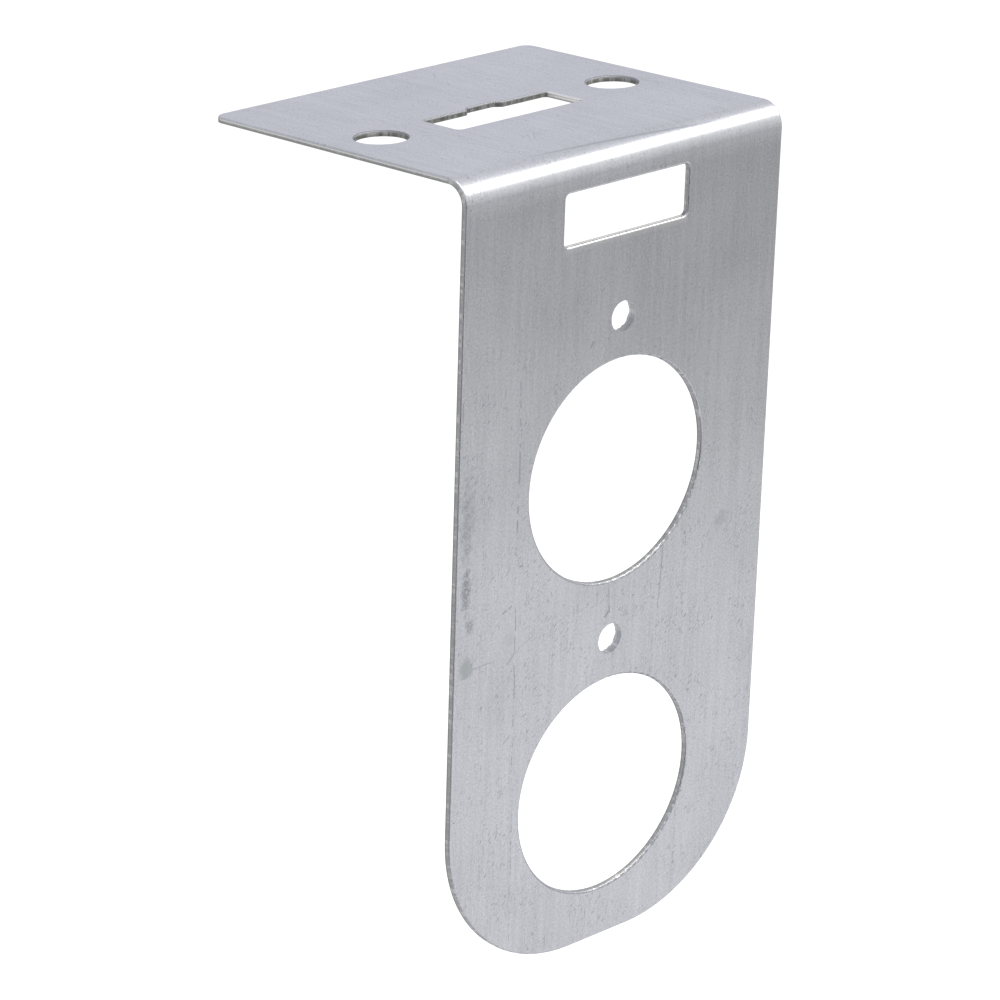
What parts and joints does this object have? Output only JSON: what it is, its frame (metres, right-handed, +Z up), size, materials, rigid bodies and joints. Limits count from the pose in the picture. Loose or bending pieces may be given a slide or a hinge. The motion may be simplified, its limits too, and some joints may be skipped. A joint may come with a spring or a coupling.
{
  "type": "pipe support bracket",
  "caption": "Folded sheet steel angle: a flange to screw under a joist and a hanging plate with round holes that hold pipes, a pin hole above each, and a strap slot in both leaves.",
  "frame": {"origin": "midway between the two screw holes, on the flange's top face", "axes": "+X runs along the bend, +Y goes back from the plate along the flange, +Z points up out of the flange's top face"},
  "size_m": [0.063, 0.0549, 0.1263],
  "materials": {
    "galvanised_steel": "galvanised and rolled, with fine streaks"
  },
  "bodies": {
    "root": {"bracket": "galvanised_steel"}
  },
  "joints": []
}
